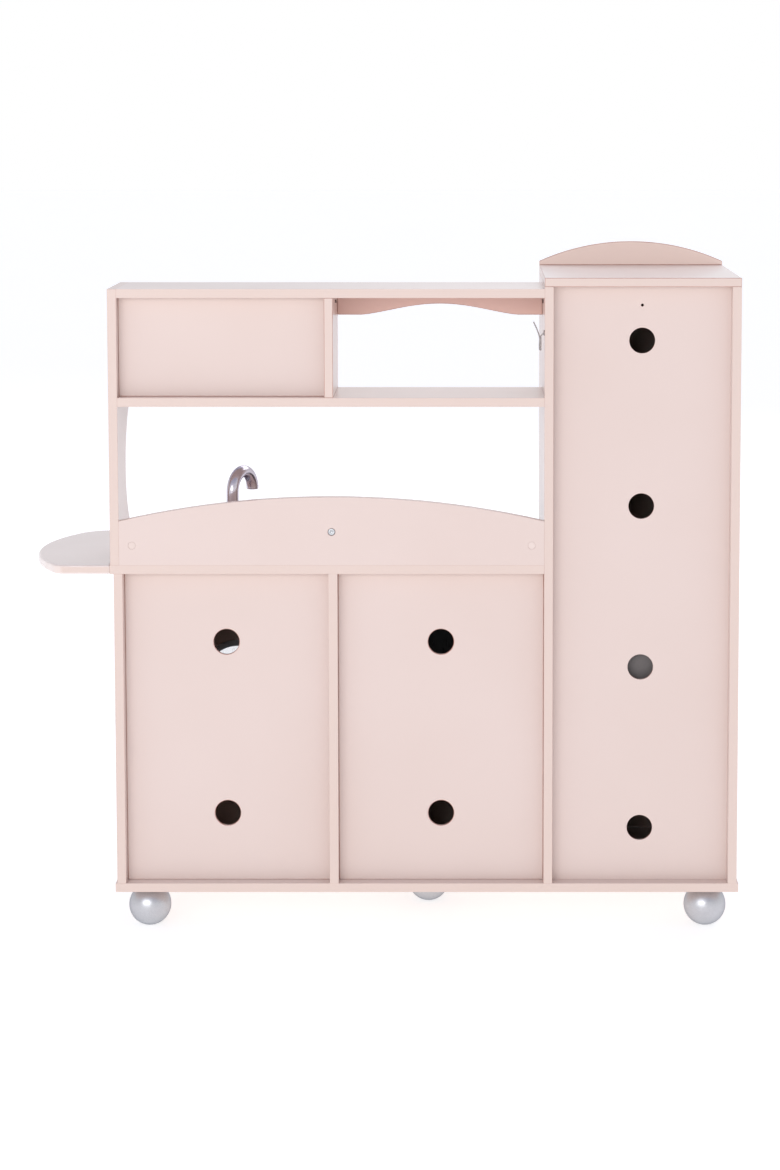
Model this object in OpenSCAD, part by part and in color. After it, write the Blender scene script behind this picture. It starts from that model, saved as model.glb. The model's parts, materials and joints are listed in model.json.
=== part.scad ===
// Toy kitchen: painted boards on five ball feet. A tall fridge tower stands beside an oven bay and a washer
// bay. The worktop over the two bays has a sink, a hob and a rounded side table, and a shallow upper unit
// holds a microwave and an open shelf. Front is -Y, rear is +Y, and every size is in millimetres.

/* [Boards] */
// Thickness of every board
board = 12; // [11:0.5:13]
// Depth of the boards from front edge to rear edge
depth = 300; // [290:1:320]
// Thickness of the thin back panels
panel = 5; // [3:0.5:6]
// How far the back panels sit inside the rear edges
panel_recess = 20; // [12:1:26]
// Diameter of the round holes in the back panels
vent_d = 35; // [25:1:40]

/* [Widths] */
// Outer width of the fridge tower
tower_w = 264.5; // [255:0.5:275]
// Clear width of the oven bay
oven_bay_w = 280.5; // [275:0.5:290]
// Clear width of the washer bay
washer_bay_w = 279; // [275:0.5:290]
// How far the base board stands out past the end panels
base_overhang = 2.5; // [1:0.5:4]
// How far the worktop stands out past the washer bay
worktop_overhang = 5.5; // [4.5:0.5:7]
// Width of the side table
table_w = 115; // [105:1:125]
// Radius of the side table's curved outer edge
table_curve_r = 255; // [235:5:280]
// Radius of the side table's front corner
table_front_r = 55; // [40:5:70]
// Radius of the side table's rear corner
table_rear_r = 20; // [10:2:30]

/* [Heights] */
// Underside of the base board above the floor
base_z = 55; // [53:1:56]
// Upper face of the worktop
worktop_z = 508; // [500:1:515]
// Upper face of the shelf over the worktop
shelf_z = 736; // [730:1:745]
// Upper face of the upper unit
upper_z = 883; // [878:1:886]
// Upper face of the tower's top board
tower_z = 898; // [894:1:906]
// Height of the crown board above the tower
crown_h = 34; // [30:1:40]
// Height of the backsplash at its middle
splash_h = 93; // [88:1:98]

/* [Curves] */
// Radius of the backsplash's upper edge
splash_r = 1275; // [1200:25:1400]
// Radius of the crown's upper edge
crown_r = 320; // [315:5:360]
// Rise of the valance's arch
valance_rise = 15.5; // [10:0.5:18]
// Radius of the hollow in the upper side panel's front edge
side_hollow_r = 100; // [90:1:105]
// Depth of the upper unit
upper_depth = 140; // [135:1:150]

/* [Feet] */
// Diameter of the ball feet
foot_d = 58; // [56:1:60]
// Distance of each foot's centre from the front and rear edges
foot_inset = 35; // [32:1:45]

/* [Fronts] */
// Gap around each inset front
front_gap = 2; // [1.5:0.5:3]
// Gap under each side-hung door
sill_gap = 0.8; // [0.5:0.1:1.5]
// Radius of the washer's round window
porthole_r = 50; // [45:1:52]
// Length of the bar handles
handle_len = 100; // [90:5:110]
// How far the handles stand proud of the boards' front edge
handle_proud = 22; // [20:1:26]

/* [Taps and sink] */
// Diameter of the faucet's tube
tube_d = 16.5; // [14:0.5:17]
// Centreline radius of the faucet's bend
bend_r = 26; // [24:1:32]
// Angle that the spout is turned from straight ahead
spout_turn = 27; // [0:1:40]
// Radius of the sink's rim
sink_rim_r = 95; // [90:1:98]
// Depth of the sink
sink_depth = 66; // [50:1:75]

/* [Hidden] */

$fn = 96;

// Colours
pink = [0.93, 0.76, 0.70];
silver = [0.76, 0.76, 0.79];
steel = [0.55, 0.53, 0.56];
bin_grey = [0.50, 0.50, 0.50];
hob_black = [0.07, 0.07, 0.08];
smoked = [0.12, 0.12, 0.14, 0.75];
clear = [0.85, 0.92, 0.96, 0.35];
cream = [0.96, 0.93, 0.87];

// Frame: centred in X and Y over everything, handles included
total_w = base_overhang + tower_w + oven_bay_w + washer_bay_w + 2 * board + worktop_overhang + table_w;
rear_y = (depth + handle_proud) / 2;
front_y = rear_y - depth;
handle_y = front_y - handle_proud;
base_x0 = -total_w / 2;
tower_x0 = base_x0 + base_overhang;
tower_x1 = tower_x0 + tower_w;
oven_x1 = tower_x1 + oven_bay_w;
washer_x0 = oven_x1 + board;
washer_x1 = washer_x0 + washer_bay_w;
carcass_x1 = washer_x1 + board;
worktop_x1 = carcass_x1 + worktop_overhang;

// Vertical levels
floor_z = base_z + board;
under_top_z = worktop_z - board;
tower_top_z = tower_z - board;

// Back panels
panel_y1 = rear_y - panel_recess;
panel_y0 = panel_y1 - panel;

// Tower: four equal compartments; the lowest two boards reach the front as rails between the fronts
tower_in_x0 = tower_x0 + board;
tower_in_x1 = tower_x1 - board;
bay_h = (tower_top_z - floor_z - 3 * board) / 4;
drawer_floor_z = floor_z + bay_h;
fridge_floor_z = drawer_floor_z + board + bay_h;
fridge_shelf_z = fridge_floor_z + board + bay_h;

// Upper unit
upper_y0 = rear_y - upper_depth;
upper_side_x1 = worktop_x1 - 1;
upper_side_x0 = upper_side_x1 - board;
upper_div_x0 = oven_x1 + 4.5;
upper_div_x1 = upper_div_x0 + board;
upper_under_z = upper_z - board;

// Inset fronts
front_set = 2;
front_y0 = front_y + front_set;
front_y1 = front_y0 + board;
hinge_gap = 1.5;
hinge_in = hinge_gap + board / 2;
hinge_y = (front_y0 + front_y1) / 2;
micro_y0 = upper_y0 + front_set;
micro_y1 = micro_y0 + board;
micro_hinge_y = (micro_y0 + micro_y1) / 2;
control_h = 56;
control_z = under_top_z - control_h;
kick_z = 160;
oven_door_z0 = kick_z + front_gap;
oven_hinge_z = oven_door_z0 + board / 2;
tower_hinge_x = tower_in_x0 + hinge_in;
washer_hinge_x = washer_x1 - hinge_in;
micro_hinge_x = upper_side_x0 - hinge_in;

// Hinge pins
pin_r = 2.5;
bore_r = 2.55;
pin_in_board = 8;
pin_in_door = 12;
bore_in_door = 13;

// Windows
rebate = 4;
pane = 3;
oven_win = [176, 140];
oven_win_z = 300;
micro_win = [176, 74];
porthole_x = 222;
porthole_z = 288;
porthole_seat_r = porthole_r + 10;

// Handles
bar_r = 5;
post_r = 4;
post_inset = 12;
handle_inset = 26;
level_handle_drop = 32;
grip_y = handle_y + bar_r;

// Knobs
knob_r = 17;
knob_h = 17;
knob_shaft_r = 3;
knob_z = control_z + control_h / 2;
knob_span = 74;
oven_mid_x = (tower_x1 + oven_x1) / 2;

// Sink, faucet and taps
sink_x = 195;
sink_y = -32;
sink_wall = 2;
faucet_x = 209;
faucet_y = rear_y - 70;
arch_z = 597.5;
spout_drop = 1.5;
faucet_clear = 0.05;
socket_in_top = 8;
shaft_in_top = 7;
tap_span = 45;
tap_shaft_r = 4;
sink_hole_margin = 10;

// Hob
hob_size = [236, 190];
hob_h = 3;
hob_x = oven_mid_x;
hob_y = -22;
ring_pitch = [112, 88];

// Backsplash and clock
splash_mid_x = (tower_x1 + upper_side_x0) / 2;
splash_top_z = worktop_z + splash_h;
splash_y0 = rear_y - board;
clock_x = splash_mid_x;
clock_z = 553.6;
clock_r = 35;
spindle_r = 3;
cap_r = 5;
cap_h = 2;
cap_z = worktop_z + 27;

// Fasteners
screw_r = 2.5;
screw_len = 40;
screw_head_r = 4;
screw_head_h = 3;
screw_y = [-90, 100];
screw_clear = 0.05;
bolt_r = 4;
bolt_head_r = 8;
bolt_head_h = 3;
bolt_bottom_z = 31;

// A box from its lowest and highest corners
module block(x, y, z) {
  translate([x[0], y[0], z[0]]) cube([x[1] - x[0], y[1] - y[0], z[1] - z[0]]);
}

// Round bars along each axis
module bar_x(y, z, x0, x1, r) {
  translate([x0, y, z]) rotate([0, 90, 0]) cylinder(r = r, h = x1 - x0);
}
module bar_y(x, z, y0, y1, r) {
  translate([x, y0, z]) rotate([-90, 0, 0]) cylinder(r = r, h = y1 - y0);
}
module bar_z(x, y, z0, z1, r) {
  translate([x, y, z0]) cylinder(r = r, h = z1 - z0);
}

// A straight wire between two points in space
module wire(a, b, r) {
  d = b - a;
  len = norm(d);
  translate(a) rotate([0, acos(d[2] / len), atan2(d[1], d[0])]) cylinder(r = r, h = len, $fn = 32);
}

// A flat outline in X and Z, given thickness along Y from y0 to y1
module plate_xz(y0, y1) {
  translate([0, y1, 0]) rotate([90, 0, 0]) linear_extrude(y1 - y0) children();
}

// Screw positions: up through the base into each upright
upright_mid_x = [tower_x0 + board / 2, tower_x1 - board / 2, oven_x1 + board / 2, washer_x1 + board / 2];

module base_screws(extra) {
  for (x = upright_mid_x, y = screw_y) {
    bar_z(x, y, base_z, base_z + screw_len + extra, screw_r + extra);
    bar_z(x, y, base_z, base_z + screw_head_h, screw_head_r + extra);
  }
}

// Screws in from the tower's outer side, into the two fixed boards behind the rails
module tower_screws(extra) {
  for (z = [drawer_floor_z + board / 2, fridge_floor_z + board / 2], y = screw_y) {
    bar_x(y, z, tower_x0, tower_x0 + screw_len + extra, screw_r + extra);
    bar_x(y, z, tower_x0, tower_x0 + screw_head_h, screw_head_r + extra);
  }
}

// Screws in from the upper side panel, into the shelf and the top board
module upper_screws(extra) {
  for (z = [shelf_z - board / 2, upper_z - board / 2], y = [rear_y - 40, upper_y0 + 30]) {
    bar_x(y, z, upper_side_x1 - screw_len - extra, upper_side_x1, screw_r + extra);
    bar_x(y, z, upper_side_x1 - screw_head_h, upper_side_x1, screw_head_r + extra);
  }
}

// Small screws whose heads stand proud, high in the two walls of the open shelf
wall_screw_r = 1.5;
wall_screw_len = 9;
wall_head_r = 2.5;
wall_head_h = 1.2;
wall_screw_y = rear_y - 76;
wall_screw_z = upper_under_z - 10;

module shelf_wall_screws(extra) {
  for (wall = [[tower_x1, -1], [upper_div_x0, 1]]) {
    tip = wall[0] + wall[1] * (wall_screw_len + extra);
    head = wall[0] - wall[1] * wall_head_h;
    bar_x(wall_screw_y, wall_screw_z, min(tip, wall[0]), max(tip, wall[0]), wall_screw_r + extra);
    bar_x(wall_screw_y, wall_screw_z, min(head, wall[0]), max(head, wall[0]), wall_head_r);
  }
}

// Ball feet: one near each corner and one in the middle
foot_from_tower_end = 40.5;
foot_from_washer_end = 28.5;
foot_x = [tower_x0 + foot_from_tower_end, washer_x1 - foot_from_washer_end];
foot_y = [front_y + foot_inset, rear_y - foot_inset];
foot_places = concat(
  [for (x = foot_x, y = foot_y) [x, y]],
  [[(foot_x[0] + foot_x[1]) / 2, (foot_y[0] + foot_y[1]) / 2]]
);
foot_flat = 0.5;

module ball_feet() {
  color(silver)
    for (p = foot_places)
      difference() {
        translate([p[0], p[1], foot_d / 2 - foot_flat]) sphere(d = foot_d);
        translate([p[0] - foot_d, p[1] - foot_d, -foot_d]) cube([2 * foot_d, 2 * foot_d, foot_d]);
        translate([p[0] - foot_d, p[1] - foot_d, base_z]) cube([2 * foot_d, 2 * foot_d, foot_d]);
        bar_z(p[0], p[1], bolt_bottom_z - 1, base_z + 1, bolt_r + screw_clear);
      }
}

// Bolts down through the base into the feet
module foot_bolts(extra) {
  for (p = foot_places) {
    bar_z(p[0], p[1], bolt_bottom_z, floor_z, bolt_r + extra);
    bar_z(p[0], p[1], floor_z - bolt_head_h, floor_z, bolt_head_r + extra);
  }
}

module screws_and_bolts() {
  color(silver) {
    base_screws(0);
    tower_screws(0);
    upper_screws(0);
    shelf_wall_screws(0);
    foot_bolts(0);
  }
}

module base_board() {
  color(pink)
    difference() {
      block([base_x0, carcass_x1 + base_overhang], [front_y, rear_y], [base_z, floor_z]);
      base_screws(screw_clear);
      foot_bolts(screw_clear);
      pin_bores();
    }
}

// Hinge pins: vertical pairs for the side-hung doors and a level pair for the oven door
module pin_at(x, y, z, up, r, in_board, in_door) {
  bar_z(x, y, up ? z - in_board : z - in_door, up ? z + in_door : z + in_board, r);
}

// Each side-hung door: hinge line, lower board's top face and upper board's underside
side_hung = [
  [tower_hinge_x, hinge_y, floor_z, drawer_floor_z],
  [tower_hinge_x, hinge_y, fridge_floor_z + board, tower_top_z],
  [washer_hinge_x, hinge_y, floor_z, under_top_z],
  [micro_hinge_x, micro_hinge_y, shelf_z, upper_under_z]
];

module pins(r, in_board, in_door) {
  for (h = side_hung) {
    pin_at(h[0], h[1], h[2], true, r, in_board, in_door + front_gap);
    pin_at(h[0], h[1], h[3], false, r, in_board, in_door + front_gap);
  }
  bar_x(hinge_y, oven_hinge_z, tower_x1 - in_board, tower_x1 + front_gap + in_door, r);
  bar_x(hinge_y, oven_hinge_z, oven_x1 - front_gap - in_door, oven_x1 + in_board, r);
}

module hinge_pins() {
  color(steel) pins(pin_r, pin_in_board, pin_in_door);
}

module pin_bores() {
  pins(bore_r, pin_in_board, bore_in_door);
}

// Uprights
module upright(x0, z1) {
  color(pink)
    difference() {
      block([x0, x0 + board], [front_y, rear_y], [floor_z, z1]);
      base_screws(screw_clear);
      tower_screws(screw_clear);
      pin_bores();
    }
}
module washer_side_panel() { upright(washer_x1, under_top_z); }
module centre_divider() { upright(oven_x1, under_top_z); }
module tower_inner_side() {
  difference() {
    upright(tower_in_x1, tower_top_z);
    shelf_wall_screws(screw_clear);
  }
}
module tower_outer_side() { upright(tower_x0, tower_top_z); }

// Back panels with their round holes
module back_panel(x, z, holes) {
  color(pink)
    difference() {
      block(x, [panel_y0, panel_y1], z);
      for (p = holes) bar_y(p[0], p[1], panel_y0 - 1, panel_y1 + 1, p[2] / 2);
    }
}

lower_vents_z = [160.5, 399];
tower_vents_z = [140, 364, 586, 812];
strap_hole_z = 860;
strap_hole_d = 4;
tower_mid_x = (tower_in_x0 + tower_in_x1) / 2;

module washer_back_panel() {
  back_panel([washer_x0, washer_x1], [floor_z, under_top_z],
    [for (z = lower_vents_z) [washer_x0 + washer_bay_w / 2 + 1, z, vent_d]]);
}
module oven_back_panel() {
  back_panel([tower_x1, oven_x1], [floor_z, under_top_z],
    [for (z = lower_vents_z) [oven_mid_x, z, vent_d]]);
}
module tower_back_panel() {
  back_panel([tower_in_x0, tower_in_x1], [floor_z, tower_top_z], concat(
    [for (z = tower_vents_z) [tower_mid_x, z, vent_d]],
    [[tower_mid_x, strap_hole_z, strap_hole_d]]));
}
module microwave_back_panel() {
  back_panel([upper_div_x1, upper_side_x0], [shelf_z, upper_under_z], []);
}

// Fixed boards inside the tower
module tower_board(y0, z) {
  color(pink)
    difference() {
      block([tower_in_x0, tower_in_x1], [y0, panel_y0], [z, z + board]);
      tower_screws(screw_clear);
      pin_bores();
    }
}
module drawer_floor() { tower_board(front_y, drawer_floor_z); }
module fridge_floor() { tower_board(front_y, fridge_floor_z); }
module fridge_shelf() { tower_board(front_y1 + front_gap + bar_r, fridge_shelf_z); }

module tower_top() {
  color(pink)
    difference() {
      block([tower_x0, tower_x1], [front_y, rear_y], [tower_top_z, tower_z]);
      pin_bores();
    }
}

module crown() {
  color(pink)
    intersection() {
      block([tower_x0, tower_x1], [front_y, front_y + board], [tower_z, tower_z + crown_h]);
      bar_y((tower_x0 + tower_x1) / 2, tower_z + crown_h - crown_r, front_y - 1, front_y + board + 1, crown_r,
        $fn = 360);
    }
}

// A blind socket in the worktop for the faucet's stem or a tap's shaft
module shaft_socket(x, r) {
  bar_z(x, faucet_y, worktop_z - socket_in_top, worktop_z + 1, r + faucet_clear);
}

// Worktop with the sink's cut-out and the sockets for the faucet and taps
module worktop() {
  color(pink)
    difference() {
      block([tower_x1, worktop_x1], [front_y, rear_y], [under_top_z, worktop_z]);
      bar_z(sink_x, sink_y, under_top_z - 1, worktop_z + 1, sink_rim_r - sink_hole_margin);
      shaft_socket(faucet_x, tube_d / 2);
      for (s = [-1, 1]) shaft_socket(faucet_x + s * tap_span, tap_shaft_r);
      pin_bores();
    }
}

// Points along an arc
function arc(cx, cy, r, a0, a1, n) =
  [for (i = [0 : n]) [cx + r * cos(a0 + (a1 - a0) * i / n), cy + r * sin(a0 + (a1 - a0) * i / n)]];

// Side table: its outer edge is one arc, centred a little to the rear, that runs into two rounded corners
table_curve_y = 19;

module side_table() {
  r = table_curve_r;
  corner_r = [table_front_r, table_rear_r];
  x = worktop_x1 + table_w - r;
  reach = [table_curve_y - front_y, rear_y - table_curve_y] - corner_r;
  turn = [for (i = [0, 1]) asin(reach[i] / (r - corner_r[i]))];
  corner_x = [for (i = [0, 1]) x + sqrt(pow(r - corner_r[i], 2) - pow(reach[i], 2))];
  n = 24;
  edge = concat([for (i = [1 : n]) turn[0] * (i / n - 1)], [for (i = [1 : n - 1]) turn[1] * i / n]);
  color(pink)
    translate([0, 0, under_top_z]) linear_extrude(board)
      polygon(concat(
        [[worktop_x1, rear_y], [worktop_x1, front_y]],
        arc(corner_x[0], front_y + corner_r[0], corner_r[0], -90, -turn[0], 12),
        [for (a = edge) [x + r * cos(a), table_curve_y + r * sin(a)]],
        arc(corner_x[1], rear_y - corner_r[1], corner_r[1], turn[1], 90, 8)));
}

// Upper unit. The hollow's centre stands in front of the panel and a little above the middle of its gap
hollow_set = 43;
hollow_rise = 9.5;

module upper_side_panel() {
  color(pink)
    difference() {
      block([upper_side_x0, upper_side_x1], [upper_y0, rear_y], [worktop_z, upper_z]);
      bar_x(upper_y0 - hollow_set, (worktop_z + shelf_z) / 2 + hollow_rise, upper_side_x0 - 1,
        upper_side_x1 + 1, side_hollow_r);
      upper_screws(screw_clear);
    }
}

module upper_board(z0) {
  color(pink)
    difference() {
      block([tower_x1, upper_side_x0], [upper_y0, rear_y], [z0, z0 + board]);
      upper_screws(screw_clear);
      pin_bores();
    }
}
module upper_top_board() { upper_board(upper_under_z); }
module upper_shelf() { upper_board(shelf_z - board); }

module upper_divider() {
  color(pink)
    difference() {
      block([upper_div_x0, upper_div_x1], [upper_y0, rear_y], [shelf_z, upper_under_z]);
      shelf_wall_screws(screw_clear);
    }
}

// Valance: flat ends, then a soft rise to a shallow arch
valance_h = 32.5;
valance_flat = 33;
function valance_z(t) = upper_under_z - valance_h + valance_rise * pow(sin(180 * t), 1.4);

module valance() {
  w = upper_div_x0 - tower_x1;
  n = 40;
  rise = [for (i = [0 : n]) [upper_div_x0 - valance_flat - (w - 2 * valance_flat) * i / n, valance_z(i / n)]];
  color(pink)
    plate_xz(upper_y0 + 1, upper_y0 + 1 + board)
      polygon(concat(
        [[tower_x1, upper_under_z], [upper_div_x0, upper_under_z], [upper_div_x0, valance_z(0)]],
        rise,
        [[tower_x1, valance_z(1)]]));
}

// Backsplash with the clock's spindle hole and two pockets for cover caps
cap_x = [tower_x1 + 17, upper_side_x0 - 17.5];

module backsplash() {
  color(pink)
    difference() {
      intersection() {
        block([tower_x1, upper_side_x0], [splash_y0, rear_y], [worktop_z, splash_top_z]);
        bar_y(splash_mid_x, splash_top_z - splash_r, splash_y0 - 1, rear_y + 1, splash_r, $fn = 720);
      }
      for (x = cap_x) bar_y(x, cap_z, rear_y - cap_h, rear_y + 1, cap_r + 0.1);
      bar_y(clock_x, clock_z, splash_y0 - 1, rear_y + 1, spindle_r + running_clear);
      bar_y(clock_x, clock_z, rear_y - nut_h - nut_recess, rear_y + 1, cap_r + 0.2);
    }
}

module cover_caps() {
  color(pink) for (x = cap_x) bar_y(x, cap_z, rear_y - cap_h, rear_y, cap_r);
}

// Clock on the backsplash's front, with hands that turn on a fixed spindle
clock_h = 5;
bezel_h = 3;
hand_h = 1.6;
nut_h = 2.7;
nut_recess = 0.3;
running_clear = 0.05;
hour_y = splash_y0 - clock_h - 0.6;
minute_y = hour_y - hand_h - 0.4;
spindle_y0 = minute_y - hand_h - 2.4;

module clock_face() {
  color(cream)
    difference() {
      union() {
        bar_y(clock_x, clock_z, splash_y0 - clock_h, splash_y0, clock_r);
        bar_y(clock_x, clock_z, splash_y0 - bezel_h, splash_y0, clock_r + 2);
      }
      bar_y(clock_x, clock_z, splash_y0 - clock_h - 1, splash_y0 + 1, spindle_r + running_clear);
    }
}

module clock_spindle() {
  color(silver) {
    bar_y(clock_x, clock_z, spindle_y0, rear_y - nut_recess, spindle_r);
    bar_y(clock_x, clock_z, spindle_y0, spindle_y0 + 2, spindle_r + 2);
    bar_y(clock_x, clock_z, rear_y - nut_h - nut_recess, rear_y - nut_recess, cap_r);
  }
}

// A clock hand with its round eye, pointing up before it is turned
module hand(y0, length, width, turn) {
  color(hob_black)
    translate([clock_x, 0, clock_z]) rotate([0, turn, 0]) translate([-clock_x, 0, -clock_z])
      difference() {
        union() {
          bar_y(clock_x, clock_z, y0 - hand_h, y0, spindle_r + 3);
          plate_xz(y0 - hand_h, y0)
            polygon([[clock_x - width, clock_z], [clock_x + width, clock_z], [clock_x, clock_z + length]]);
        }
        bar_y(clock_x, clock_z, y0 - hand_h - 1, y0 + 1, spindle_r + running_clear);
      }
}
module hour_hand() { hand(hour_y, 19, 3.2, -60); }
module minute_hand() { hand(minute_y, 28, 2.6, 60); }

// Hook of bent wire on the tower's side, near the rear edge of the open shelf
hook_r = 1;
hook_out = 6;
hook_y = rear_y - 13;
hook_z = 817;
hook_plate_r = 4;
hook_plate_h = 1.5;
bead_r = hook_r + 0.6;
strand_set = 0.8;

module wire_hook() {
  joint = [tower_x1 + hook_out, hook_y, hook_z];
  prong_tip = joint + [9, 0, 21];
  wall_end = joint + [hook_plate_h + hook_r - hook_out - 0.5, 0, 6];
  knot = joint + [0, 0, -12.5];
  low = joint + [0, 0, -17.5];
  low_tip = low + [0, -9, 4];
  color(steel) {
    wire(joint, prong_tip, hook_r);
    wire(wall_end, joint, hook_r);
    for (s = [-strand_set, strand_set]) wire(low + [s, 0, 0], joint + [s, 0, 0], hook_r);
    wire(low, low_tip, hook_r);
    for (p = [joint, knot, low, low_tip, prong_tip]) translate(p) sphere(r = bead_r, $fn = 32);
    bar_x(hook_y, hook_z + 6, tower_x1, tower_x1 + hook_plate_h, hook_plate_r);
  }
}

// Oven: control panel and kick panel, fixed, and a wire rack on the middle line of the bay
module oven_control_panel() {
  color(pink)
    difference() {
      block([tower_x1, oven_x1], [front_y0, front_y1], [control_z, under_top_z]);
      for (s = [-1, 1])
        bar_y(oven_mid_x + s * knob_span, knob_z, front_y0 - 1, front_y1 + 1, knob_shaft_r + running_clear);
    }
}

module oven_kick_panel() {
  color(pink) block([tower_x1, oven_x1], [front_y0, front_y1], [floor_z, kick_z]);
}

rack_z = 276;
rack_y = [front_y1 + 12, panel_y0 - 6];
rack_r = 2;
rack_bars = 9;

module oven_rack() {
  color(steel) {
    for (y = rack_y) bar_x(y, rack_z, tower_x1, oven_x1, rack_r + 0.8, $fn = 24);
    for (i = [1 : rack_bars])
      bar_y(tower_x1 + oven_bay_w * i / (rack_bars + 1), rack_z, rack_y[0], rack_y[1], rack_r, $fn = 24);
  }
}

// Hob: a flat plate with four raised rings
module hob_plate() {
  w = hob_size[0] / 2;
  d = hob_size[1] / 2;
  r = 12;
  color(hob_black)
    translate([hob_x, hob_y, worktop_z]) linear_extrude(hob_h)
      polygon(concat(
        arc(w - r, d - r, r, 0, 90, 10), arc(r - w, d - r, r, 90, 180, 10),
        arc(r - w, r - d, r, 180, 270, 10), arc(w - r, r - d, r, 270, 360, 10)));
}

module hob_rings() {
  color(silver)
    for (sx = [-1, 1], sy = [-1, 1])
      difference() {
        r = sx == sy ? 38 : 31;
        x = hob_x + sx * ring_pitch[0] / 2;
        y = hob_y + sy * ring_pitch[1] / 2;
        bar_z(x, y, worktop_z + hob_h, worktop_z + hob_h + 2, r);
        bar_z(x, y, worktop_z + hob_h - 1, worktop_z + hob_h + 3, r - 7);
      }
}

// Sink: a spun basin hung in the worktop by its rim
module sink_basin() {
  wall_r = sink_rim_r - sink_hole_margin - 0.5;
  slope = 18;
  floor_r = wall_r - slope;
  zf = -sink_depth;
  color(silver)
    translate([sink_x, sink_y, worktop_z])
      rotate_extrude()
        polygon([
          [0, zf], [floor_r, zf], [wall_r, zf + 20], [wall_r, 0], [sink_rim_r, 0], [sink_rim_r, 1.5],
          [wall_r - sink_wall, 2.5], [wall_r - sink_wall, zf + 21], [floor_r - 1, zf + sink_wall],
          [0, zf + sink_wall]
        ]);
}

module faucet_base() {
  inner_r = tube_d / 2 + faucet_clear;
  base_r = 18;
  neck_r = 13;
  base_h = 8;
  color(steel)
    translate([faucet_x, faucet_y, worktop_z])
      rotate_extrude()
        polygon([[inner_r, 0], [base_r, 0], [base_r, 3], [neck_r, base_h], [inner_r, base_h]]);
}

// Faucet: straight stem, half-circle bend and an open spout, turned a little to one side
module faucet() {
  r = tube_d / 2;
  bore_depth = 3;
  tube_wall = 2;
  spout_z = arch_z - spout_drop;
  color(steel)
    translate([faucet_x, faucet_y, 0]) rotate([0, 0, -spout_turn])
      difference() {
        union() {
          bar_z(0, 0, worktop_z - shaft_in_top, arch_z, r);
          translate([0, -bend_r, arch_z]) rotate([0, -90, 0]) rotate([0, 0, -90])
            rotate_extrude(angle = 180) translate([bend_r, 0]) circle(r = r);
          bar_z(0, -2 * bend_r, spout_z, arch_z, r);
        }
        bar_z(0, -2 * bend_r, spout_z - 1, spout_z + bore_depth, r - tube_wall);
      }
}

// Tap: a skirt, then a round cap with a crossed grip, on a short shaft in the worktop
tap_skirt_r = 11;
tap_skirt_h = 12;
tap_cap_r = 9;
tap_cap_z0 = worktop_z + 14;
tap_cap_z1 = worktop_z + 30;
tap_grip_r = 3.5;
tap_grip_len = 32;
tap_dish_r = 5;
tap_dish_h = 2;

module tap(x) {
  grip_z = (tap_cap_z0 + tap_cap_z1) / 2;
  half = tap_grip_len / 2;
  color(steel)
    difference() {
      union() {
        bar_z(x, faucet_y, worktop_z - shaft_in_top, tap_cap_z1 - 4, tap_shaft_r);
        bar_z(x, faucet_y, worktop_z + 0.5, worktop_z + tap_skirt_h, tap_skirt_r);
        bar_z(x, faucet_y, tap_cap_z0, tap_cap_z1, tap_cap_r);
        bar_x(faucet_y, grip_z, x - half, x + half, tap_grip_r);
        bar_y(x, grip_z, faucet_y - half, faucet_y + half, tap_grip_r);
      }
      bar_z(x, faucet_y, tap_cap_z1 - tap_dish_h, tap_cap_z1 + 1, tap_dish_r);
    }
}
module tap_left() { tap(faucet_x - tap_span); }
module tap_right() { tap(faucet_x + tap_span); }

// Oven knob: round skirt with a grip bar across it, on a shaft through the control panel
knob_gap = 0.8;
knob_skirt_h = 7;
knob_grip_w = 8;
knob_line_w = 1.2;
knob_line_depth = 0.8;

module knob(x) {
  y1 = front_y0 - knob_gap;
  y0 = y1 - knob_h;
  grip_top = knob_z + knob_r - 2;
  color(silver)
    difference() {
      union() {
        bar_y(x, knob_z, y1 - knob_skirt_h, y1, knob_r);
        bar_y(x, knob_z, y0, front_y1, knob_shaft_r);
        block([x - knob_grip_w / 2, x + knob_grip_w / 2], [y0, y1 - 3], [knob_z - knob_r + 2, grip_top]);
      }
      block([x - knob_line_w / 2, x + knob_line_w / 2], [y0 - 1, y0 + knob_line_depth],
        [knob_z + 4, grip_top - 1]);
    }
}
module oven_knob_left() { knob(oven_mid_x - knob_span); }
module oven_knob_right() { knob(oven_mid_x + knob_span); }

// Bar handles: a round bar on two posts
module handle_upright(x, y0, y_bar, z) {
  color(silver) {
    bar_z(x, y_bar, z - handle_len / 2, z + handle_len / 2, bar_r);
    for (s = [-1, 1]) bar_y(x, z + s * (handle_len / 2 - post_inset), y_bar, y0, post_r);
  }
}
module handle_level(x, y0, y_bar, z) {
  color(silver) {
    bar_x(y_bar, z, x - handle_len / 2, x + handle_len / 2, bar_r);
    for (s = [-1, 1]) bar_y(x + s * (handle_len / 2 - post_inset), z, y_bar, y0, post_r);
  }
}

// A side-hung front: one edge is a half round about the hinge line, so that it turns in its gap
module side_hung_front(x_free, hinge_x, y0, z0, z1) {
  y_mid = y0 + board / 2;
  r = board / 2;
  difference() {
    union() {
      block([min(x_free, hinge_x), max(x_free, hinge_x)], [y0, y0 + board], [z0, z1]);
      bar_z(hinge_x, y_mid, z0, z1, r);
    }
    pin_bores();
    children();
  }
}

free_x = tower_in_x1 - front_gap;

module fridge_door() {
  color(pink)
    side_hung_front(free_x, tower_hinge_x, front_y0, fridge_floor_z + board + sill_gap,
      tower_top_z - front_gap);
}
module fridge_handle() { handle_upright(free_x - handle_inset, front_y0, grip_y, fridge_shelf_z); }

module cupboard_door() {
  color(pink)
    side_hung_front(free_x, tower_hinge_x, front_y0, floor_z + sill_gap, drawer_floor_z - front_gap);
}
module cupboard_handle() {
  above_middle = 20;
  handle_upright(free_x - handle_inset, front_y0, grip_y, floor_z + bay_h / 2 + above_middle);
}

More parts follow.
